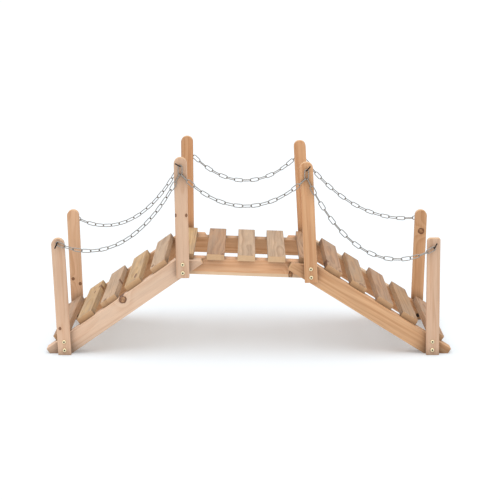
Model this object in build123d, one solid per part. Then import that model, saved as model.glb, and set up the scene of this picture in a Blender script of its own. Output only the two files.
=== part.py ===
from build123d import *

import os
from math import atan, ceil, cos, degrees, hypot, radians, sin, tan

# A wooden garden footbridge with two sloping ends, a level deck and chain rails.
# X runs along the walkway, Y across it and Z up. The origin is at the bottom centre.
# Sizes are in millimetres and angles in degrees.

# Timber sections
beam_wide = 45.0
beam_tall = 45.0
ramp_beam_tall = 50.0
post_wide = 35.0
post_thick = 21.5
plank_wide = 48.6
plank_thick = 16.0

# Walkway: its clear width between the deck beams and the planks' lap on the ramp beams
clear_width = 301.0
plank_end_lap = 22.5
plank_count = 5

# Deck: the height of its beams' top at the middle and how far it runs down to the right
deck_length = 386.5
deck_height = 251.5
deck_tilt = 2.06
deck_plank_drift = (0.2, 0.0, -0.4, -2.0, -0.4)

# Ramps: each crest is where the ramp's top meets the deck's, and lies in from the deck's end
left_slope = 34.9
right_slope = 32.0
left_crest = 0.2
right_crest = 5.4
head_lap = 56.0
foot_nose = 15.0
first_plank = 30.0
last_gap = 27.0
left_plank_drift = (1.0, -0.5, -3.3, -3.1, 1.3)
right_plank_drift = (-0.2, 1.4, -1.7, 0.9, -2.6)

# Rail posts: how far each stands in from its ramp's tip or from its deck's end, and its lean
# to the left, with the radii of the top corners and the least flat between one and the middle
end_post_length = 321.5
mid_post_length = 328.0
crown_radius = 16.8
crown_flat = 0.35
square_crown_left = 10.0
square_crown_right = 4.0
end_post_inset = {"near_left": 51.8, "far_left": 41.8, "near_right": 52.5, "far_right": 52.0}
mid_post_inset = {"near_left": 21.8, "far_left": 19.6, "near_right": 17.4, "far_right": 20.2}
end_post_lean = {"near_left": 2.7, "far_left": 1.9, "near_right": 0.2, "far_right": -1.65}
mid_post_lean = {"near_left": 1.0, "far_left": 0.3, "near_right": 2.7, "far_right": 3.1}

# Screw hooks: square bends of round rod, each with its shank on its post's centre line
hook_rod = 3.0
hook_reach = 12.0
hook_arm = 16.0
hook_bend = 2.6
rod_sides = 8
end_hook_drop = {"near_left": 11.0, "far_left": 22.0, "near_right": 25.0, "far_right": 25.0}
mid_hook_drop = {"left": 22.0, "right": 21.0}
end_hook_turn = {"left": 246.0, "right": 63.0}
mid_hook_turn = {"left": 150.0, "right": 50.0}

# Chain of straight long links
wire = 2.4
link_length = 28.8
link_wide = 13.4
link_gap = 0.25
wire_sides = 6
near_slack = {"left": 1.12, "middle": 1.14, "right": 1.148}
far_slack = {"left": 1.17, "middle": 1.14, "right": 1.07}
near_twist = {"left": 45.0, "middle": 25.0, "right": 12.0}
far_twist = {"left": 35.0, "middle": 15.0, "right": 20.0}
twist_links = 3
shank_roll = 90.0
foot_roll = 0.0

# Lines and places worked out from the sizes above
deck_beam_side = clear_width / 2
ramp_beam_side = deck_beam_side + beam_wide
post_side = ramp_beam_side + beam_wide
post_face = post_side + post_thick
plank_reach = ramp_beam_side + plank_end_lap
hook_side = post_face + hook_reach
chain_side = hook_side - hook_bend - wire / 2 - link_gap
link_inside = link_length - 2 * wire
link_pitch = link_inside - link_gap
link_bow = (link_length - wire) / 2
slopes = {"left": left_slope, "right": right_slope}
crests = {"left": left_crest, "right": right_crest}
outward = {"left": -1, "right": 1}
plank_drifts = {"left": left_plank_drift, "right": right_plank_drift}
toward = {"near": -1, "far": 1}
big = 10 * deck_length
solve_steps = 60
seat_steps = 6


def side_profile(points):
    """Face in the XZ plane, facing the near side."""
    return Plane.XZ * make_face(Polyline(*points, close=True))


def across(face, low, high):
    """Solid of an XZ face carried from one Y to another."""
    return Pos(0, high, 0) * extrude(face, amount=high - low, dir=(0, -1, 0))


def bar(start, end, low, high, base, top):
    """Square-ended bar from start to end along X, between two Y and two Z."""
    points = [(start, base), (end, base), (end, top), (start, top)]
    return across(side_profile(points), low, high)


def crest_point(end):
    """X and Z, from the deck's middle, where a ramp's top line meets the deck's."""
    along = outward[end] * (deck_length / 2 - crests[end])
    return along * cos(radians(deck_tilt)), deck_height - along * sin(radians(deck_tilt))


def ramp_run(end):
    """Distance down a ramp's slope from its crest to its foot's upper tip."""
    slope = radians(slopes[end])
    return (crest_point(end)[1] - foot_nose * cos(slope)) / sin(slope)


def foot_tip(end):
    """X, from the deck's middle, of a ramp foot's upper tip."""
    return crest_point(end)[0] + outward[end] * ramp_run(end) * cos(radians(slopes[end]))


def deck_middle():
    """X of the deck's middle, with the origin halfway between the feet."""
    return -(foot_tip("left") + foot_tip("right")) / 2


def deck_place():
    """Frame on the deck beams' top, at the middle of the deck."""
    return Pos(deck_middle(), 0, deck_height) * Rot(0, deck_tilt, 0)


def deck_top(x):
    """Height of the deck beams' top over a given X."""
    return deck_height - (x - deck_middle()) * tan(radians(deck_tilt))


def ramp_place(end):
    """Frame at a ramp foot's upper tip, its X up the slope and its Z away from the beam."""
    slope = slopes[end]
    foot = Pos(deck_middle() + foot_tip(end), 0, foot_nose * cos(radians(slope)))
    if end == "left":
        return foot * Rot(0, -slope, 0)
    return foot * Rot(0, 180 + slope, 0) * Rot(180, 0, 0)


def below_deck_top():
    """Space under the plane of the deck beams' top."""
    return deck_place() * bar(-big, big, -big, big, -big, 0)


def above_floor():
    """Space over the floor."""
    return bar(-big, big, -big, big, 0, big)


def beam(length, start, inner, tall, side):
    """Beam with its top at Z 0, its inner face at a given distance from the middle."""
    low, high = sorted((toward[side] * inner, toward[side] * (inner + beam_wide)))
    return bar(start, start + length, low, high, -tall, 0)


def deck_beam(side):
    return deck_place() * beam(deck_length, -deck_length / 2, deck_beam_side, beam_tall, side)


def ramp_beam(end, side):
    """Sloping beam, cut level at its foot and flush with the deck at its head."""
    length = ramp_run(end) + head_lap
    whole = ramp_place(end) * beam(length, 0, ramp_beam_side, ramp_beam_tall, side)
    return whole & above_floor() & below_deck_top()


def plank(start):
    return bar(start, start + plank_wide, -plank_reach, plank_reach, 0, plank_thick)


def deck_planks():
    """Planks from one end of the deck to the other."""
    pitch = (deck_length - plank_wide) / (plank_count - 1)
    for number in range(plank_count):
        drift = deck_plank_drift[number % len(deck_plank_drift)]
        yield deck_place() * plank(number * pitch - deck_length / 2 + drift)


def ramp_planks(end):
    """Planks up one ramp, the lowest first."""
    drifts = plank_drifts[end]
    pitch = (ramp_run(end) - first_plank - last_gap - plank_wide) / (plank_count - 1)
    for number in range(plank_count):
        start = first_plank + number * pitch + drifts[number % len(drifts)]
        yield ramp_place(end) * plank(start)


def post_base(side, end, station):
    """Middle of a post's foot, and its lean."""
    key = f"{side}_{end}"
    if station == "end":
        x = deck_middle() + foot_tip(end) - outward[end] * end_post_inset[key]
        return x, 0.0, end_post_lean[key]
    deck_end = outward[end] * deck_length / 2 * cos(radians(deck_tilt))
    x = deck_middle() + deck_end - outward[end] * mid_post_inset[key]
    return x, deck_top(x) - beam_tall / cos(radians(deck_tilt)), mid_post_lean[key]


def post_place(side, end, station):
    """Frame at the middle of a post's foot, leaning with the post."""
    x, z, lean = post_base(side, end, station)
    return Pos(x, 0, z) * Rot(0, -lean, 0)


def post_length(station):
    return end_post_length if station == "end" else mid_post_length


def crown_radii(side, end, station):
    """Radii of the two top corners of a post."""
    if (side, end, station) == ("near", "right", "end"):
        return square_crown_left, square_crown_right
    return crown_radius, crown_radius


def post(side, end, station):
    """Flat post with a rounded top. The end posts are cut level at the floor."""
    half = post_wide / 2
    top = post_length(station)
    foot = -half if station == "end" else 0
    outline = Polyline((-half, foot), (half, foot), (half, top), (-half, top), close=True)
    face = make_face(outline)
    left_radius, right_radius = crown_radii(side, end, station)
    left_corner = face.vertices().sort_by_distance((-half, top, 0))[0]
    face = fillet(left_corner, min(left_radius, half - crown_flat))
    right_corner = face.vertices().sort_by_distance((half, top, 0))[0]
    face = fillet(right_corner, min(right_radius, half - crown_flat))
    low, high = sorted((toward[side] * post_side, toward[side] * post_face))
    whole = post_place(side, end, station) * across(Plane.XZ * face, low, high)
    return whole & above_floor() if station == "end" else whole


def hook_point(side, end, station):
    """X and Z of a hook's shank, on its post's centre line."""
    x, z, lean = post_base(side, end, station)
    drop = end_hook_drop[f"{side}_{end}"] if station == "end" else mid_hook_drop[end]
    up = post_length(station) - drop
    return x - up * sin(radians(lean)), z + up * cos(radians(lean))


def hook(side, end, station):
    """Rod that stands out of the post and turns square along its face, its bend mitred."""
    x, z = hook_point(side, end, station)
    turn = radians(end_hook_turn[end] if station == "end" else mid_hook_turn[end])
    away = Vector(0, toward[side], 0)
    along = Vector(cos(turn), 0, sin(turn))
    face = Vector(x, toward[side] * post_face, z)
    corner = Vector(x, toward[side] * hook_side, z)
    bend = [corner - away * hook_bend, corner + along * hook_bend]
    path = Polyline(face, *bend, corner + along * hook_arm)
    section = Plane(origin=face, z_dir=away) * RegularPolygon(hook_rod / 2, rod_sides)
    return sweep(section, path=path, transition=Transition.RIGHT)


def chain_link():
    """One straight link along X in the XY plane, a bent bar with eight mitred corners."""
    ring = (link_wide - wire) / 2
    straight = link_bow - ring
    nib = ring * tan(radians(22.5))
    corners = [(straight + nib, ring), (link_bow, nib), (link_bow, -nib), (straight + nib, -ring)]
    corners += [(-x, -y) for x, y in corners]
    middle = (Vector(*corners[-1]) + Vector(*corners[0])) * 0.5
    loop = Polyline(middle, *corners, close=True)
    section = Plane(origin=middle, z_dir=(1, 0, 0)) * RegularPolygon(wire / 2, wire_sides)
    return sweep(section, path=loop, transition=Transition.RIGHT)


def hanging_angles(run, rise, lengths):
    """Slope of each link of a chain that hangs between two points."""

    def walk(first, step):
        angles = [atan(first + step * number) for number in range(len(lengths))]
        x = sum(length * cos(angle) for length, angle in zip(lengths, angles))
        z = sum(length * sin(angle) for length, angle in zip(lengths, angles))
        return x, z, angles

    def first_slope(step):
        low, high = -big, big
        for _ in range(solve_steps):
            middle = (low + high) / 2
            if walk(middle, step)[1] < rise:
                low = middle
            else:
                high = middle
        return (low + high) / 2

    low, high = 0.0, 10.0
    for _ in range(solve_steps):
        step = (low + high) / 2
        if walk(first_slope(step), step)[0] > run:
            low = step
        else:
            high = step
    return walk(first_slope(low), low)[2]


def link_rolls(count, first, last, twist):
    """Turn of each link about the chain, a quarter turn on from the one before.

    The chain is twisted along its middle, and the end links lie as their seats need.
    """
    rest = (last - first - 90 * (count - 1)) % 180
    for number in range(count):
        into = min(1, number / twist_links)
        out = 1 - min(1, (count - 1 - number) / twist_links)
        yield first + 90 * number + twist * into + (rest - twist) * out


def span_shape(start, end, slack):
    """Length and slope of each link between two bow centres, given as X and Z."""
    run, rise = end[0] - start[0], end[1] - start[1]
    count = max(2, ceil(hypot(run, rise) * slack / link_pitch - 0.5))
    end_length = link_pitch / 2 + link_bow
    lengths = [end_length] + [link_pitch] * (count - 2) + [end_length]
    return lengths, hanging_angles(run, rise, lengths)


def hang_links(start, end, y, slack, end_rolls, twist):
    """Places of the links that hang from one bow's centre to another's, at one Y."""
    x, z = start
    lengths, angles = span_shape(start, end, slack)
    rolls = link_rolls(len(lengths), *end_rolls, twist)
    for number, (length, angle, roll) in enumerate(zip(lengths, angles, rolls)):
        back = link_bow if number == 0 else link_pitch / 2
        place = Pos(x + back * cos(angle), y, z + back * sin(angle)) * Rot(0, -degrees(angle), 0)
        yield place * Rot(roll, 0, 0)
        x += length * cos(angle)
        z += length * sin(angle)


def shank_span(side, part, foot, slack):
    """Ends of a span from an upright link's foot to an end post's hook.

    The bow lies round the shank on the line of its own link, which is found by steps.
    """
    x, z = hook_point(side, part, "end")
    back = hook_rod / 2 + link_gap + wire / 2
    angle = 0.0
    for _ in range(seat_steps):
        if part == "left":
            ends = (x - back * cos(angle), z - back * sin(angle)), foot
            angle = span_shape(*ends, slack)[1][0]
        else:
            ends = foot, (x + back * cos(angle), z + back * sin(angle))
            angle = span_shape(*ends, slack)[1][-1]
    return ends


def hanger_place(side, end):
    """Middle of the upright link that hangs from a middle post's hook."""
    x, z = hook_point(side, end, "mid")
    return x, z + hook_rod / 2 + link_gap + wire / 2 - link_bow


def hanger_foot(side, end, direction):
    """Bow centre of a chain that rests in an upright link's lower bow."""
    x, z = hanger_place(side, end)
    beside = (wire + link_gap) / 2
    return x + direction * beside, z - link_bow + wire + link_gap


def chain_span(side, part):
    """Every link of one span, with the upright links on the middle span."""
    slack = (near_slack if side == "near" else far_slack)[part]
    twist = (near_twist if side == "near" else far_twist)[part]
    y = toward[side] * chain_side
    if part == "middle":
        start = hanger_foot(side, "left", 1)
        end = hanger_foot(side, "right", -1)
        places = list(hang_links(start, end, y, slack, (foot_roll, foot_roll), twist))
        for end_name in ("left", "right"):
            x, z = hanger_place(side, end_name)
            places.append(Pos(x, y, z) * Rot(0, -90, 0) * Rot(90, 0, 0))
    else:
        foot = hanger_foot(side, part, -1 if part == "left" else 1)
        start, end = shank_span(side, part, foot, slack)
        rolls = (shank_roll, foot_roll) if part == "left" else (foot_roll, shank_roll)
        places = list(hang_links(start, end, y, slack, rolls, twist))
    link = chain_link()
    return [place * link for place in places]


def write(name, shapes):
    """Keep one node, of one or more solids."""
    solids = [solid for shape in shapes for solid in shape.solids()]
    node = solids[0] if len(solids) == 1 else Compound(children=solids)
    node.label = name
    export_step(node, os.path.join("parts", name + ".step"))


def build():
    """Write every piece of the bridge."""
    os.makedirs("parts", exist_ok=True)
    for number, piece in enumerate(deck_planks(), 1):
        write(f"deck_plank_{number}", [piece])
    for end in slopes:
        for number, piece in enumerate(ramp_planks(end), 1):
            write(f"{end}_ramp_plank_{number}", [piece])
    for side in toward:
        write(f"{side}_deck_beam", [deck_beam(side)])
        for part in near_slack:
            write(f"{side}_{part}_chain", chain_span(side, part))
        for end in slopes:
            write(f"{side}_{end}_ramp_beam", [ramp_beam(end, side)])
            for station in ("end", "mid"):
                write(f"{side}_{end}_{station}_post", [post(side, end, station)])
                write(f"{side}_{end}_{station}_hook", [hook(side, end, station)])


build()
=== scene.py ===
from math import cos, pi, radians, sin

import bmesh
import bpy
import numpy as np
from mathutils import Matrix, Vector


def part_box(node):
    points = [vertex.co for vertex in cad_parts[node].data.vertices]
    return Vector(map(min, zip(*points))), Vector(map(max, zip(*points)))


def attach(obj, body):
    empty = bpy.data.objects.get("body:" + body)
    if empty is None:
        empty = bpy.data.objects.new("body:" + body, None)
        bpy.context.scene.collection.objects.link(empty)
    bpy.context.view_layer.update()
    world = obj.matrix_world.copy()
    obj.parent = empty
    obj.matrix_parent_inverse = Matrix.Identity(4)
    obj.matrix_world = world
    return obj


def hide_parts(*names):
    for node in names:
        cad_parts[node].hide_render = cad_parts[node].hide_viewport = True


# A wooden garden footbridge: pine timber, zinc chain rails, dark hooks and plated bolts.
# Lengths are in metres and angles in degrees. X runs along the walkway, Y across it, Z up.

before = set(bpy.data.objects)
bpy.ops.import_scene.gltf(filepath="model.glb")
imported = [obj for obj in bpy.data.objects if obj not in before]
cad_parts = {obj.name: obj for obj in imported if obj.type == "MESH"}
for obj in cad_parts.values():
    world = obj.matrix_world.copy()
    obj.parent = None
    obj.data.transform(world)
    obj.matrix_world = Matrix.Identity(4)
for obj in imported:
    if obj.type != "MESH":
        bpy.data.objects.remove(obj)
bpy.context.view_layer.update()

SIDES = ("near", "far")
ENDS = ("left", "right")
SPANS = ("left", "middle", "right")
STATIONS = ("end", "mid")
TOWARD = {"near": -1.0, "far": 1.0}
ACROSS_WALK = Vector((0.0, 1.0, 0.0))

# Camera, in the photograph's frame of 500 by 500 pixels
FOCAL_PX = 1868.0
FRAME_PX = 500.0
SENSOR = 36.0
CAMERA_PLACE = (0.0033, -5.2167, 1.16405)
CAMERA_DOWN = 10.0
CAMERA_CLIP = (0.1, 100.0)

# Timber edges: how far two corners may lie apart and still be one, which edges are flat
# enough to dissolve, which are sharp enough to ease and how round they get
SAME_CORNER = 1e-6
FLAT_EDGE = 1.0
SHARP_EDGE = 25.0
EDGE_ROUND = 0.0009
EDGE_STEPS = 2
ROUND_PROFILE = 0.5

# Board directions: sloping and upright timbers are read upwards and level ones to the right.
# A face is end grain past the first cosine to the length, and a plank's side below the other.
BOARD_HEADING = Vector((0.3, 0.0, 1.0))
END_FACING = 0.7
SIDE_FACING = 0.5

# Chain wire
WIRE_RADIUS = 0.0013
WIRE_SIDES = 12
BOW_STEPS = 10
STRAIGHT_STEPS = 3

# Hook rods, with a tip that rounds off in rings at these shares of the radius
ROD_RADIUS = 0.0018
ROD_BEND = 0.0026
ROD_SIDES = 14
BEND_STEPS = 8
TIP_SHARES = (0.5, 0.8, 0.95)
SHANK_SLICE = 1e-4
TIP_SLICE = 4e-4

# Bolts through the feet of the posts, at these heights above each foot
BOLT_HEIGHTS = (0.0145, 0.0375)
HEAD_RADIUS = 0.0056
HEAD_LIFT = 0.0002
HEAD_RIM = 0.0005
HEAD_DOME = 0.0026
DOME_STEPS = 7
SOCKET_RADIUS = 0.0018
SOCKET_LIP = 0.003
SOCKET_FLOOR = 0.0012
SOCKET_RINGS = 2
WASHER_RADIUS = 0.0056
WASHER_THICK = 0.0011
NUT_RADIUS = 0.0044
NUT_THICK = 0.004
NUT_SIDES = 6
STUB_FOOT = 0.00242
STUB_TIP = 0.0022
STUB_LENGTH = 0.006
TURN_STEPS = 24
BOLT_SPLIT = 35.0

# Light and floor
WORLD_LEVEL = 0.74
BACKDROP_LEVEL = 1.0
WHITE = (1.0, 1.0, 1.0, 1.0)
FLOOR_COLOUR = (0.735, 0.79, 0.835, 1.0)
FLOOR_GLOW = 0.21
FLOOR_ROUGH = 0.9
FLOOR_HALF = 30.0
FLOOR_DROP = 0.0002
SUN_POWER = 1.25
SUN_ANGLE = 80.0
SUN_TILT = (4.0, -3.0)

# Each timber's own place in the tree, drawn between these limits
SEED = 7
GRAIN_SHIFT = (1.0, 9.0)
SHIFT_SHARES = (1.0, 0.37, 0.21)
PITH_ACROSS = (-0.02, 0.02)
PITH_THROUGH = (-0.07, -0.03)
RING_WIDTH = (0.0028, 0.0048)

# Grain: how often each noise repeats in a metre along, across and through a board
SLOW_GRAIN = (2.2, 9.0, 9.0)
STREAK_GRAIN = (4.0, 150.0, 150.0)
FIBRE_GRAIN = (30.0, 1400.0, 1400.0)
PATCH_GRAIN = (4.0, 16.0, 16.0)
WORN_GRAIN = (6.0, 40.0, 40.0)
KNOT_EDGE_GRAIN = (260.0, 260.0, 260.0)
KNOT_HEART_GRAIN = (160.0, 160.0, 160.0)

# Wood colours and relief. Each range is what a noise or distance runs between and, where
# two more values follow, what that is turned into. Otherwise it is turned into 0 to 1.
RING_RISE = (0.2, 0.92)
RING_FALL = (0.93, 1.0, 1.0, 0.0)
RING_WANDER = 0.02
STREAK_IN_RINGS = (0.3, 0.75, 0.3, 1.0)
STREAK_ALONE = (0.38, 0.75, 0.0, 0.55)
PATCH_TONE = (0.3, 0.7, 0.9, 1.06)
FIBRE_TONE = (0.25, 0.75, 0.93, 1.05)
WORN_RANGE = (0.35, 0.68)
PALE_EDGE_WANDER = 0.006
PALE_EDGE_SOFT = 0.0012
PALE_EDGE_COVER = 0.8
END_COVER = 0.7
WOOD_SHEEN = (0.2, 0.8, 0.66, 0.54)
WOOD_SPECULAR = 0.28
# Painted shade in the wood's colour where other faces are close
WOOD_CREVICE_SHADE = {"distance": 0.04, "dark": 0.42}
WOOD_RELIEF = {"distance": 0.00012, "strength": 0.6}
FIBRE_RELIEF = 0.5
RING_RELIEF = -0.5
# The planks take more of the weathered grey: partly wear, partly painted shade for their less
# lit tops
PLANK_WEATHER_AND_SHADE = 0.45
TIMBER_WEATHER = 0.1

# Knots: their ragged edge, dark rim and how they push the rings aside
KNOT_RAGGED = 0.5
KNOT_HEART = (0.82, 1.05, 1.0, 0.0)
KNOT_RIM_RISE = (0.6, 0.92)
KNOT_RIM_FALL = (0.95, 1.25, 1.0, 0.0)
KNOT_MOTTLE = (0.35, 0.65)
KNOT_COVER = 0.85
KNOT_PUSH = 0.8
KNOT_PUSH_FADE = -0.16
SMALL_KNOT = 0.006

# Metals, and the painted shade in each crevice that they share with the timber
MOTTLE_RANGE = (0.3, 0.7)
BROWN_MOTTLE_RANGE = (0.35, 0.7)
ZINC_CREVICE_SHADE = {"distance": 0.003, "dark": 0.12}
CREVICE_RANGE = (0.25, 0.95)
CREVICE_SAMPLES = 8


def srgb(red, green, blue):
    """Linear colour of an sRGB one given from 0 to 255."""
    def linear(value):
        value /= 255
        return value / 12.92 if value <= 0.04045 else ((value + 0.055) / 1.055) ** 2.4
    return linear(red), linear(green), linear(blue), 1.0


WEATHERED_AND_SHADE = srgb(166, 142, 118)
KNOT_DARK = srgb(124, 76, 44)
KNOT_LIGHT = srgb(186, 136, 92)
KNOT_RIM = srgb(92, 52, 28)
END_GRAIN = srgb(232, 192, 148)
SAPWOOD_AND_LIGHT = srgb(240, 208, 172)
ZINC_DARK = srgb(134, 129, 123)
ZINC_LIGHT = srgb(178, 172, 165)
# Dark metal of the hooks, and painted shade on the nuts and washers
DARK_METAL = srgb(20, 14, 10)
BROWN_METAL = srgb(62, 42, 30)
YELLOW_DARK = srgb(226, 204, 152)
YELLOW_LIGHT = srgb(255, 244, 212)
# Painted shade in the bolt heads' drive sockets
SOCKET_SHADE = srgb(46, 34, 24)

# Tones of the timbers: early wood, late wood and how strongly the rings show
PALE = (srgb(228, 190, 160), srgb(202, 152, 116), 0.55)
PINKISH = (srgb(236, 202, 174), srgb(214, 168, 132), 0.5)
TAN = (srgb(226, 178, 134), srgb(190, 132, 86), 0.6)
ORANGE = (srgb(230, 178, 132), srgb(196, 130, 82), 0.6)
FAWN = (srgb(240, 196, 158), srgb(208, 154, 112), 0.6)
APRICOT = (srgb(244, 192, 148), srgb(216, 152, 104), 0.6)
BROWN = (srgb(186, 144, 108), srgb(140, 96, 62), 0.85)
UMBER = (srgb(186, 146, 106), srgb(138, 98, 64), 0.7)
BEIGE = (srgb(206, 174, 142), srgb(164, 126, 94), 0.85)
HONEY = (srgb(210, 174, 126), srgb(168, 124, 78), 0.85)
# Each timber's tone is partly its own colour and partly painted light: the near left ramp beam
# is paler than the near right one, standing for light from the front left
TIMBER_TONES_AND_LIGHT = {
    "near_left_end_post": PALE,
    "near_right_end_post": PALE,
    "near_left_mid_post": PALE,
    "near_right_mid_post": ORANGE,
    "far_left_end_post": FAWN,
    "far_right_end_post": TAN,
    "far_left_mid_post": ORANGE,
    "far_right_mid_post": ORANGE,
    "near_left_ramp_beam": PINKISH,
    "near_right_ramp_beam": ORANGE,
    "near_deck_beam": APRICOT,
    "far_left_ramp_beam": TAN,
    "far_right_ramp_beam": TAN,
    "far_deck_beam": TAN,
}
# The planks' tones are partly their own colour and partly painted shade: darker and browner
# than the beams and posts, standing for their tops and sides being less lit
PLANK_TONES_AND_SHADE = {
    "deck": (HONEY, BROWN, BEIGE, BEIGE, BROWN),
    "left_ramp": (BROWN, HONEY, BEIGE, HONEY, BEIGE),
    "right_ramp": (BROWN, UMBER, BROWN, UMBER, BROWN),
}

# Beams with a strip of pale sapwood below this height across the board. On the near right ramp
# beam the strip takes in the top face and the top of the front, where it is also painted light
# for a lit top.
PALE_EDGES = {"near_deck_beam": -0.0145, "near_right_ramp_beam": -0.021}

# Knots and dark streaks: place on the timber's face, radius, and stretch along the grain. One
# dark mark is painted shade.
KNOTS_AND_SHADE = {
    "near_left_ramp_beam": [
        ((-0.3427, -0.24, 0.1495), 0.0095, 1.05),
        ((-0.3868, -0.24, 0.1403), 0.002, 2.0),
    ],
    "near_left_end_post": [((-0.5123, -0.262, 0.0738), 0.0035, 1.2)],
    "far_left_end_post": [
        ((-0.5229, 0.24, 0.1148), 0.0042, 1.1),
        ((-0.502, 0.24, 0.1), 0.0042, 1.1),
    ],
    "far_right_end_post": [((0.5097, 0.24, 0.2589), 0.0085, 1.0)],
    "near_deck_beam": [((0.1141, -0.195, 0.2105), 0.0105, 0.5)],
    "near_left_mid_post": [
        ((-0.1967, -0.262, 0.3847), 0.003, 1.5),
        ((-0.1677, -0.262, 0.3847), 0.003, 1.5),
    ],
    "left_ramp_plank_2": [
        ((-0.4242, 0.1319, 0.1069), 0.006, 2.2),
        ((-0.4445, 0.079, 0.107), 0.002, 9.0),
    ],
    "left_ramp_plank_3": [
        ((-0.3872, -0.21, 0.134), 0.004, 3.4),
        ((-0.3586, -0.0118, 0.1497), 0.003, 4.0),
    ],
    "left_ramp_plank_4": [((-0.3129, -0.1485, 0.1989), 0.0035, 8.0)],
    "left_ramp_plank_5": [((-0.262, -0.19, 0.232), 0.004, 3.0)],
    "deck_plank_2": [((-0.0715, -0.214, 0.2675), 0.003, 5.0)],
    "right_ramp_plank_5": [
        # The first mark here is painted shade: a dark patch low on the plank's side where shade
        # falls
        ((0.2112, -0.1576, 0.2371), 0.006, 3.0),
        ((0.2525, -0.21, 0.2177), 0.007, 2.4),
    ],
    "right_ramp_plank_4": [((0.3047, -0.21, 0.176), 0.008, 2.0)],
}


class Nodes:
    """Short forms for building one material's nodes."""

    def __init__(self, name):
        self.material = bpy.data.materials.new(name)
        self.material.use_nodes = True
        self.tree = self.material.node_tree
        self.tree.nodes.clear()
        self.output = self.add("ShaderNodeOutputMaterial")
        self.shader = self.add("ShaderNodeBsdfPrincipled")
        self.link(self.shader.outputs[0], self.output.inputs["Surface"])

    def add(self, kind, **settings):
        node = self.tree.nodes.new(kind)
        for key, value in settings.items():
            setattr(node, key, value)
        return node

    def link(self, source, target):
        self.tree.links.new(source, target)

    def feed(self, socket, value):
        """Links a socket, or sets a plain value."""
        if isinstance(value, bpy.types.NodeSocket):
            self.link(value, socket)
        else:
            socket.default_value = value

    def surface(self, name, value):
        """Feeds one of the shader's own sockets."""
        self.feed(self.shader.inputs[name], value)

    def attribute(self, name, output="Fac"):
        return self.add("ShaderNodeAttribute", attribute_name=name).outputs[output]

    def math(self, operation, *values, clamp=False):
        node = self.add("ShaderNodeMath", operation=operation, use_clamp=clamp)
        for socket, value in zip(node.inputs, values):
            self.feed(socket, value)
        return node.outputs[0]

    def plus(self, a, b, clamp=False):
        return self.math("ADD", a, b, clamp=clamp)

    def minus(self, a, b):
        return self.math("SUBTRACT", a, b)

    def times(self, a, b):
        return self.math("MULTIPLY", a, b)

    def over(self, a, b):
        return self.math("DIVIDE", a, b)

    def squares(self, a, b):
        return self.plus(self.times(a, a), self.times(b, b))

    def vector(self, operation, a, b):
        node = self.add("ShaderNodeVectorMath", operation=operation)
        self.feed(node.inputs[0], a)
        self.feed(node.inputs[1], b)
        return node.outputs[0]

    def mix(self, factor, a, b, blend="MIX"):
        node = self.add("ShaderNodeMix", data_type="RGBA", blend_type=blend)
        for number, value in ((0, factor), (6, a), (7, b)):
            self.feed(node.inputs[number], value)
        return node.outputs[2]

    def noise(self, where, grain, detail=2.0, rough=0.5):
        """Noise that repeats this often in a metre along each of its axes."""
        node = self.add("ShaderNodeTexNoise")
        self.link(self.vector("MULTIPLY", where, grain), node.inputs["Vector"])
        node.inputs["Scale"].default_value = 1.0
        node.inputs["Detail"].default_value = detail
        node.inputs["Roughness"].default_value = rough
        return node.outputs["Fac"]

    def swing(self, noise, reach):
        """A noise as a swing to either side of nought."""
        return self.times(self.minus(noise, 0.5), reach)

    def spread(self, value, low, high, out_low=0.0, out_high=1.0):
        node = self.add("ShaderNodeMapRange", interpolation_type="SMOOTHSTEP")
        self.feed(node.inputs["Value"], value)
        node.inputs["From Min"].default_value = low
        node.inputs["From Max"].default_value = high
        node.inputs["To Min"].default_value = out_low
        node.inputs["To Max"].default_value = out_high
        return node.outputs[0]

    def shaded(self, colour, value):
        """A colour times a plain value."""
        node = self.add("ShaderNodeCombineColor")
        for socket in node.inputs:
            self.feed(socket, value)
        return self.mix(1.0, colour, node.outputs[0], "MULTIPLY")

    def painted_crevice_shade(self, colour, distance, dark):
        """Painted shade: darkens a colour where other faces are close."""
        node = self.add("ShaderNodeAmbientOcclusion", samples=CREVICE_SAMPLES)
        node.inputs["Distance"].default_value = distance
        return self.shaded(colour, self.spread(node.outputs["AO"], *CREVICE_RANGE, dark, 1.0))

    def bump(self, height, distance, strength):
        node = self.add("ShaderNodeBump")
        node.inputs["Strength"].default_value = strength
        node.inputs["Distance"].default_value = distance
        self.feed(node.inputs["Height"], height)
        return node.outputs[0]


def knot_nodes(n, moved, along, across, knot):
    """Heart, rim and colour of one knot, and how far it pushes the rings out."""
    place_along, place_across, size, stretch = knot
    a = n.over(n.minus(along, place_along), size * stretch)
    b = n.over(n.minus(across, place_across), size)
    square = n.squares(a, b)
    ragged = n.swing(n.noise(moved, KNOT_EDGE_GRAIN, 1.0), KNOT_RAGGED)
    away = n.plus(n.math("SQRT", square), ragged)
    swell = n.math("EXPONENT", n.times(square, KNOT_PUSH_FADE))
    heart = n.spread(away, *KNOT_HEART)
    rim = n.times(n.spread(away, *KNOT_RIM_RISE), n.spread(away, *KNOT_RIM_FALL))
    middle = KNOT_LIGHT if size > SMALL_KNOT else KNOT_DARK
    return heart, rim, middle, n.times(swell, size * KNOT_PUSH)


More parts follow.
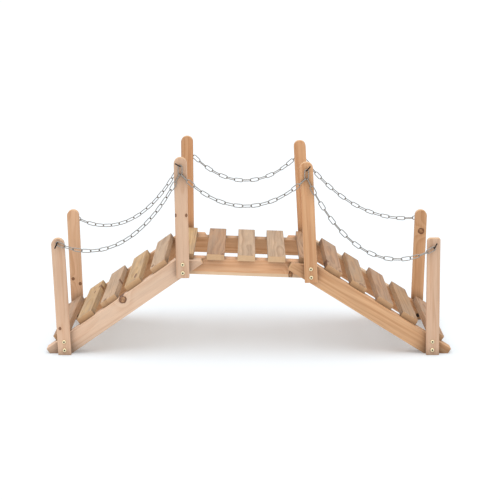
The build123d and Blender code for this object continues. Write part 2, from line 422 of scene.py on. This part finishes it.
def wood(name, tone, knots_and_shade, weather_and_shade, pale_below, ring, pith, shift):
    """Sawn softwood: growth rings about a pith line, streaks, fibre, each knot and each
    knot-shaped mark of painted shade.

    Each knot is its place along and across the board, its radius and its stretch.
    """
    early, late, contrast = tone
    n = Nodes(name)
    board = n.attribute("board", "Vector")
    moved = n.vector("ADD", board, [shift * share for share in SHIFT_SHARES])
    parts = n.add("ShaderNodeSeparateXYZ")
    n.link(board, parts.inputs[0])
    along, across, through = parts.outputs
    slow = n.noise(moved, SLOW_GRAIN)
    streak = n.noise(moved, STREAK_GRAIN, 3.0, 0.65)
    fibre = n.noise(moved, FIBRE_GRAIN, 2.0, 0.6)
    patch = n.noise(moved, PATCH_GRAIN, 3.0)

    pith_away = n.squares(n.minus(across, pith[0]), n.minus(through, pith[1]))
    radius = n.plus(n.math("SQRT", pith_away), n.swing(slow, RING_WANDER))
    knot_coats = []
    for knot in knots_and_shade:
        heart, rim, middle, push = knot_nodes(n, moved, along, across, knot)
        radius = n.plus(radius, push)
        knot_coats.append((heart, rim, middle))
    phase = n.math("FRACT", n.over(radius, ring))
    rings = n.times(n.spread(phase, *RING_RISE), n.spread(phase, *RING_FALL))
    amount = n.times(rings, n.spread(streak, *STREAK_IN_RINGS))
    amount = n.plus(amount, n.spread(streak, *STREAK_ALONE), clamp=True)
    colour = n.mix(n.times(amount, contrast), early, late)

    # Pale strip: sapwood, and on the near right ramp beam's top also painted light
    if pale_below is not None:
        edge = n.plus(across, n.swing(slow, PALE_EDGE_WANDER))
        low, high = pale_below - PALE_EDGE_SOFT, pale_below + PALE_EDGE_SOFT
        colour = n.mix(n.spread(edge, low, high, PALE_EDGE_COVER, 0.0), colour, SAPWOOD_AND_LIGHT)
    tint = n.times(n.spread(patch, *PATCH_TONE), n.spread(fibre, *FIBRE_TONE))
    colour = n.shaded(colour, tint)
    # Weathered grey: wear, and on the planks also painted shade for their less lit tops
    worn_and_shaded = n.spread(n.noise(moved, WORN_GRAIN, 4.0, 0.6), *WORN_RANGE)
    colour = n.mix(n.times(worn_and_shaded, weather_and_shade), colour, WEATHERED_AND_SHADE)
    for heart, rim, middle in knot_coats:
        mottle = n.spread(n.noise(moved, KNOT_HEART_GRAIN), *KNOT_MOTTLE)
        brown = n.mix(mottle, KNOT_DARK, middle)
        colour = n.mix(n.times(heart, KNOT_COVER), colour, brown)
        colour = n.mix(n.times(rim, KNOT_COVER), colour, KNOT_RIM)
    colour = n.mix(n.times(n.attribute("end_face"), END_COVER), colour, END_GRAIN)

    relief = n.plus(n.times(fibre, FIBRE_RELIEF), n.times(rings, RING_RELIEF))
    # The base colour carries painted shade where other faces are close
    n.surface("Base Color", n.painted_crevice_shade(colour, **WOOD_CREVICE_SHADE))
    n.surface("Roughness", n.spread(streak, *WOOD_SHEEN))
    n.surface("Specular IOR Level", WOOD_SPECULAR)
    n.surface("Normal", n.bump(relief, **WOOD_RELIEF))
    return n.material


def metal(name, metallic, per_metre, detail, rough, sheen, distance, strength):
    """Nodes of a metal whose sheen and relief follow a fine mottle, and that mottle."""
    n = Nodes(name)
    where = n.add("ShaderNodeNewGeometry").outputs["Position"]
    mottle = n.noise(where, (per_metre, per_metre, per_metre), detail, rough)
    n.surface("Metallic", metallic)
    n.surface("Roughness", n.spread(mottle, *MOTTLE_RANGE, *sheen))
    n.surface("Normal", n.bump(mottle, distance, strength))
    return n, mottle


def zinc():
    """Zinc plate with a faint mottle, and painted shade where the links meet."""
    n, mottle = metal(
        "zinc_wire", metallic=0.9, per_metre=900.0, detail=3.0, rough=0.5,
        sheen=(0.2, 0.36), distance=0.00003, strength=0.4,
    )
    plate = n.mix(mottle, ZINC_DARK, ZINC_LIGHT)
    # The plate carries painted shade where the links meet
    n.surface("Base Color", n.painted_crevice_shade(plate, **ZINC_CREVICE_SHADE))
    return n.material


def dark_metal_and_shade():
    """Dark metal mottled brown, for the hooks. On the nuts, washers and bolt ends it stands as
    painted shade.
    """
    n, mottle = metal(
        "dark_hook_metal_and_nut_shade", metallic=0.3, per_metre=1400.0, detail=4.0, rough=0.6,
        sheen=(0.42, 0.6), distance=0.00004, strength=0.5,
    )
    n.surface("Base Color", n.mix(n.spread(mottle, *BROWN_MOTTLE_RANGE), DARK_METAL, BROWN_METAL))
    return n.material


def yellow_plate():
    """Yellow passivated zinc plate, with painted shade in the drive socket."""
    n, mottle = metal(
        "yellow_plate", metallic=0.8, per_metre=700.0, detail=3.0, rough=0.5,
        sheen=(0.2, 0.34), distance=0.00003, strength=0.4,
    )
    plate = n.mix(mottle, YELLOW_DARK, YELLOW_LIGHT)
    # Painted shade in the drive socket
    n.surface("Base Color", n.mix(n.attribute("painted_socket_shade"), plate, SOCKET_SHADE))
    return n.material


def board_axes(points):
    """Centre of a beam or post and its long axis, which lies square to Y."""
    centre = (points.min(0) + points.max(0)) / 2
    along = Vector(np.linalg.svd(points - points.mean(0), full_matrices=False)[2][0])
    along.y = 0.0
    along.normalize()
    return Vector(centre), along if along.dot(BOARD_HEADING) > 0 else -along


def plank_axes(mesh, points):
    """Centre of a plank, its length across the walkway and the way that its top faces."""
    centre = (points.min(0) + points.max(0)) / 2
    flat = [face for face in mesh.faces if abs(face.normal.y) < SIDE_FACING]
    through = max(flat, key=lambda face: face.calc_area()).normal.copy()
    return Vector(centre), ACROSS_WALK, through if through.z > 0 else -through


def merged(node):
    """A node's mesh in bmesh form, with its split corners joined."""
    mesh = bmesh.new()
    mesh.from_mesh(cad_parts[node].data)
    bmesh.ops.remove_doubles(mesh, verts=mesh.verts, dist=SAME_CORNER)
    return mesh


def corners(mesh):
    """Corners of a bmesh as an array."""
    return np.array([vertex.co for vertex in mesh.verts])


def place_piece(name, mesh, material, node=None):
    """Makes a smooth piece from a bmesh, in place of a node or beside it."""
    data = bpy.data.meshes.new(name)
    mesh.to_mesh(data)
    mesh.free()
    piece = bpy.data.objects.new(name, data)
    bpy.context.scene.collection.objects.link(piece)
    data.materials.append(material)
    data.polygons.foreach_set("use_smooth", [True] * len(data.polygons))
    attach(piece, "root")
    if node:
        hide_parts(node)
    return piece


def write_attribute(piece, name, kind, domain, field, values):
    """Adds an attribute that the materials read."""
    piece.data.attributes.new(name, kind, domain).data.foreach_set(field, values)


def eased(mesh):
    """Joins a timber's flat facets and rounds its sharp edges."""
    bmesh.ops.dissolve_limit(
        mesh, angle_limit=radians(FLAT_EDGE), verts=mesh.verts, edges=mesh.edges
    )
    sharp = [
        edge for edge in mesh.edges
        if len(edge.link_faces) == 2 and edge.calc_face_angle(0.0) > radians(SHARP_EDGE)
    ]
    bmesh.ops.bevel(
        mesh, geom=sharp, offset=EDGE_ROUND, segments=EDGE_STEPS,
        profile=ROUND_PROFILE, affect="EDGES",
    )
    bmesh.ops.triangulate(mesh, faces=[face for face in mesh.faces if len(face.verts) > 4])


def tree_place(node):
    """One timber's own ring width, pith line and shift through the grain."""
    number = sorted(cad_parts).index(node)
    random = np.random.default_rng(SEED + number)
    shift = float(random.uniform(*GRAIN_SHIFT))
    pith = (float(random.uniform(*PITH_ACROSS)), float(random.uniform(*PITH_THROUGH)))
    ring = float(random.uniform(*RING_WIDTH))
    return ring, pith, shift


def timber(node, tone, weather_and_shade, plank=False):
    """Dresses one timber: eased edges, board coordinates and its own wood."""
    mesh = merged(node)
    if plank:
        centre, along, through = plank_axes(mesh, corners(mesh))
    else:
        centre, along = board_axes(corners(mesh))
        through = -ACROSS_WALK
    across = through.cross(along).normalized()
    eased(mesh)
    offsets = [vertex.co - centre for vertex in mesh.verts]
    board = [(o.dot(along), o.dot(across), o.dot(through)) for o in offsets]
    ends = [float(abs(face.normal.dot(along)) > END_FACING) for face in mesh.faces]
    knots_and_shade = []
    for place, size, stretch in KNOTS_AND_SHADE.get(node, ()):
        offset = Vector(place) - centre
        knots_and_shade.append((offset.dot(along), offset.dot(across), size, stretch))
    pale_below = PALE_EDGES.get(node)
    material = wood(node + "_wood", tone, knots_and_shade, weather_and_shade, pale_below, *tree_place(node))
    piece = place_piece(node + "_timber", mesh, material, node)
    write_attribute(piece, "board", "FLOAT_VECTOR", "POINT", "vector", np.ravel(board))
    write_attribute(piece, "end_face", "FLOAT", "FACE", "value", ends)
    piece.modifiers.new("shading", "WEIGHTED_NORMAL").keep_sharp = True


def ring_of(mesh, place, side, up, radius, count):
    """New corners evenly round a place."""
    turns = [2 * pi * step / count for step in range(count)]
    return [mesh.verts.new(place + (side * cos(t) + up * sin(t)) * radius) for t in turns]


def skin(mesh, here, there):
    """Faces between two rings."""
    for step in range(len(here)):
        after = (step + 1) % len(here)
        mesh.faces.new((here[step], here[after], there[after], there[step]))


def close_ends(mesh, first, last):
    """Caps over the first and last ring."""
    mesh.faces.new(last)
    mesh.faces.new(list(reversed(first)))


def sweep(mesh, path, radius, sides):
    """Rings of a round rod along a path of (place, direction, side) frames."""
    rings = [
        ring_of(mesh, place, side, direction.cross(side), radius, sides)
        for place, direction, side in path
    ]
    for here, there in zip(rings, rings[1:]):
        skin(mesh, here, there)
    return rings


def lathe(mesh, profile, place, away, steps=TURN_STEPS):
    """Turns a profile of (radius, height) about an axis that leaves a place."""
    side = away.orthogonal().normalized()
    up = away.cross(side)
    rings = [
        ring_of(mesh, place + away * height, side, up, radius, steps)
        for radius, height in profile
    ]
    for here, there in zip(rings, rings[1:]):
        skin(mesh, here, there)
    close_ends(mesh, rings[0], rings[-1])


def islands(mesh):
    """Loose parts of a bmesh, each as an array of points."""
    mesh.verts.index_update()
    seen = set()
    for start in mesh.verts:
        if start.index in seen:
            continue
        group, front = [], [start]
        seen.add(start.index)
        while front:
            vertex = front.pop()
            group.append(vertex.co.copy())
            for edge in vertex.link_edges:
                other = edge.other_vert(vertex)
                if other.index not in seen:
                    seen.add(other.index)
                    front.append(other)
        yield np.array(group)


def link_frames(points):
    """Path frames round one link, worked out from its CAD corners."""
    centre = points.mean(0)
    axes = np.linalg.svd(points - centre, full_matrices=False)[2]
    along, side = Vector(axes[0]), Vector(axes[1])
    local = (points - centre) @ axes.T
    half_long, half_wide = (np.ptp(local, axis=0) / 2)[:2]
    bend = half_wide - WIRE_RADIUS
    straight = half_long - WIRE_RADIUS - bend
    centre = Vector(centre)
    frames = []
    for turn_start, sign in ((-pi / 2, 1), (pi / 2, -1)):
        for step in range(BOW_STEPS + 1):
            turn = turn_start + pi * step / BOW_STEPS
            outward = along * cos(turn) + side * sin(turn)
            heading = side * cos(turn) - along * sin(turn)
            frames.append((centre + along * straight * sign + outward * bend, heading, outward))
        for step in range(1, STRAIGHT_STEPS):
            share = 1 - 2 * step / STRAIGHT_STEPS
            place = centre + along * straight * sign * share + side * bend * sign
            frames.append((place, along * -sign, side * sign))
    return frames


def chain(node, material):
    """Round wire links in place of one span's six-sided ones."""
    source = merged(node)
    mesh = bmesh.new()
    for points in islands(source):
        rings = sweep(mesh, link_frames(points), WIRE_RADIUS, WIRE_SIDES)
        skin(mesh, rings[-1], rings[0])
    source.free()
    bmesh.ops.recalc_face_normals(mesh, faces=mesh.faces)
    place_piece(node + "_links", mesh, material, node)


def hook_line(node, out):
    """Start, corner and end of one hook's centre line, from its CAD corners."""
    source = merged(node)
    points = corners(source)
    source.free()
    depth = points[:, 1] * out
    shank = points[depth < depth.min() + SHANK_SLICE].mean(0)
    away = np.hypot(*(points[:, (0, 2)] - shank[[0, 2]]).T)
    tip = points[away > away.max() - TIP_SLICE].mean(0)
    reach = out * (depth.max() - ROD_RADIUS)
    start = Vector((shank[0], out * depth.min(), shank[2]))
    return start, Vector((shank[0], reach, shank[2])), Vector((tip[0], reach, tip[2]))


def hook(node, out, material):
    """Round bent rod in place of one hook's eight-sided one."""
    start, corner, end = hook_line(node, out)
    away = ACROSS_WALK * out
    arm = (end - corner).normalized()
    side = away.cross(arm).normalized()
    frames = [(start, away, side)]
    bend_centre = corner - away * ROD_BEND + arm * ROD_BEND
    for step in range(BEND_STEPS + 1):
        turn = pi / 2 * step / BEND_STEPS
        place = bend_centre - arm * ROD_BEND * cos(turn) + away * ROD_BEND * sin(turn)
        frames.append((place, away * cos(turn) + arm * sin(turn), side))
    frames.append((end - arm * ROD_RADIUS, arm, side))
    mesh = bmesh.new()
    rings = sweep(mesh, frames, ROD_RADIUS, ROD_SIDES)
    for share in TIP_SHARES:
        place = end - arm * ROD_RADIUS * (1 - share)
        size = ROD_RADIUS * (1 - share ** 2) ** 0.5
        rings.append(ring_of(mesh, place, side, arm.cross(side), size, ROD_SIDES))
        skin(mesh, *rings[-2:])
    close_ends(mesh, rings[0], rings[-1])
    bmesh.ops.recalc_face_normals(mesh, faces=mesh.faces)
    place_piece(node + "_rod", mesh, material, node)


def head_profile():
    """Domed bolt head from its foot to its rim, over the dome and down into the socket."""
    profile = [(HEAD_RADIUS, HEAD_LIFT), (HEAD_RADIUS, HEAD_RIM)]
    for step in range(1, DOME_STEPS):
        turn = pi / 2 * step / DOME_STEPS
        size = SOCKET_RADIUS + (HEAD_RADIUS - SOCKET_RADIUS) * cos(turn)
        profile.append((size, HEAD_RIM + HEAD_DOME * sin(turn)))
    return profile + [(SOCKET_RADIUS, SOCKET_LIP), (SOCKET_RADIUS, SOCKET_FLOOR)]


def bolt_piece(name, mesh, material):
    """Makes a piece with crisp edges. Bolts have no slot of their own."""
    bmesh.ops.recalc_face_normals(mesh, faces=mesh.faces)
    piece = place_piece(name, mesh, material)
    piece.modifiers.new("edges", "EDGE_SPLIT").split_angle = radians(BOLT_SPLIT)
    return piece


def bolts(side, end, station, head_material, nut_shade_material):
    """Two bolts through a post's foot: domed heads outside, nuts and washers inside."""
    stem = f"{side}_{end}_{station}"
    post = stem + "_post"
    beam = f"{side}_deck_beam" if station == "mid" else f"{side}_{end}_ramp_beam"
    face = max(abs(corner.y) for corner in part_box(post))
    inner = min(abs(corner.y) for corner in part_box(beam))
    points = np.array([vertex.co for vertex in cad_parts[post].data.vertices])
    centre, along = board_axes(points)
    foot = min((Vector(point) - centre).dot(along) for point in points)
    out = TOWARD[side]
    away = ACROSS_WALK * out
    dome = head_profile()
    nut_top = WASHER_THICK + NUT_THICK
    washer = [(WASHER_RADIUS, 0.0), (WASHER_RADIUS, WASHER_THICK)]
    nut = [(NUT_RADIUS, WASHER_THICK), (NUT_RADIUS, nut_top)]
    stub = [(STUB_FOOT, nut_top), (STUB_TIP, WASHER_THICK + STUB_LENGTH)]
    heads, nuts = bmesh.new(), bmesh.new()
    for height in BOLT_HEIGHTS:
        axis = centre + along * (foot + height)
        seat = Vector((axis.x, out * inner, axis.z))
        lathe(heads, dome, Vector((axis.x, out * face, axis.z)), away)
        lathe(nuts, washer, seat, -away)
        lathe(nuts, nut, seat, -away, NUT_SIDES)
        lathe(nuts, stub, seat, -away)
    piece = bolt_piece(stem + "_bolt_heads", heads, head_material)
    # The socket's rings are marked for painted shade
    rings = np.arange(len(piece.data.vertices)) // TURN_STEPS % len(dome)
    dark = (rings >= len(dome) - SOCKET_RINGS).astype(float)
    write_attribute(piece, "painted_socket_shade", "FLOAT", "POINT", "value", dark)
    # The nuts, washers and bolt ends are dark as painted shade
    bolt_piece(stem + "_bolt_nuts", nuts, nut_shade_material)


def camera():
    """Long lens at the photograph's place and angle."""
    data = bpy.data.cameras.new("view")
    data.sensor_width = SENSOR
    data.lens = FOCAL_PX / FRAME_PX * SENSOR
    data.clip_start, data.clip_end = CAMERA_CLIP
    view = bpy.data.objects.new("view", data)
    view.location = CAMERA_PLACE
    view.rotation_euler = (radians(90 - CAMERA_DOWN), 0.0, 0.0)
    bpy.context.scene.collection.objects.link(view)
    bpy.context.scene.camera = view


def soft_overhead():
    """Wide soft light from overhead, a little to the front."""
    data = bpy.data.lights.new("overhead", "SUN")
    data.energy = SUN_POWER
    data.angle = radians(SUN_ANGLE)
    lamp = bpy.data.objects.new("overhead", data)
    lamp.rotation_euler = (radians(SUN_TILT[0]), radians(SUN_TILT[1]), 0.0)
    bpy.context.scene.collection.objects.link(lamp)


def white_floor():
    """Pale floor that keeps the shadow, with a small glow so that it stays white."""
    mesh = bmesh.new()
    bmesh.ops.create_grid(mesh, x_segments=1, y_segments=1, size=FLOOR_HALF)
    data = bpy.data.meshes.new("floor")
    mesh.to_mesh(data)
    mesh.free()
    floor = bpy.data.objects.new("floor", data)
    floor.location.z = -FLOOR_DROP
    bpy.context.scene.collection.objects.link(floor)
    n = Nodes("white_floor")
    n.surface("Base Color", FLOOR_COLOUR)
    n.surface("Emission Color", WHITE)
    n.surface("Emission Strength", FLOOR_GLOW)
    n.surface("Roughness", FLOOR_ROUGH)
    n.surface("Specular IOR Level", 0.0)
    data.materials.append(n.material)


def surround():
    """Even light from all round, and plain white where the camera and reflections look."""
    world = bpy.data.worlds.new("studio")
    bpy.context.scene.world = world
    world.use_nodes = True
    tree = world.node_tree
    tree.nodes.clear()
    out = tree.nodes.new("ShaderNodeOutputWorld")
    mixer = tree.nodes.new("ShaderNodeMixShader")
    rays = tree.nodes.new("ShaderNodeLightPath")
    either = tree.nodes.new("ShaderNodeMath")
    either.operation = "MAXIMUM"
    for number, ray in enumerate(("Is Camera Ray", "Is Glossy Ray")):
        tree.links.new(rays.outputs[ray], either.inputs[number])
    tree.links.new(either.outputs[0], mixer.inputs[0])
    for number, level in enumerate((WORLD_LEVEL, BACKDROP_LEVEL), 1):
        background = tree.nodes.new("ShaderNodeBackground")
        background.inputs["Color"].default_value = WHITE
        background.inputs["Strength"].default_value = level
        tree.links.new(background.outputs[0], mixer.inputs[number])
    tree.links.new(mixer.outputs[0], out.inputs["Surface"])


camera()
white_floor()
surround()
soft_overhead()

for run, tones in PLANK_TONES_AND_SHADE.items():
    for number, tone in enumerate(tones, 1):
        timber(f"{run}_plank_{number}", tone, PLANK_WEATHER_AND_SHADE, plank=True)
hook_metal_and_nut_shade = dark_metal_and_shade()
head_plate = yellow_plate()
chain_zinc = zinc()
for side in SIDES:
    for node in [f"{side}_deck_beam"] + [f"{side}_{end}_ramp_beam" for end in ENDS]:
        timber(node, TIMBER_TONES_AND_LIGHT[node], TIMBER_WEATHER)
    for span in SPANS:
        chain(f"{side}_{span}_chain", chain_zinc)
    for end in ENDS:
        for station in STATIONS:
            post = f"{side}_{end}_{station}_post"
            timber(post, TIMBER_TONES_AND_LIGHT[post], TIMBER_WEATHER)
            hook(f"{side}_{end}_{station}_hook", TOWARD[side], hook_metal_and_nut_shade)
            bolts(side, end, station, head_plate, hook_metal_and_nut_shade)

bpy.context.scene.view_settings.view_transform = "Standard"
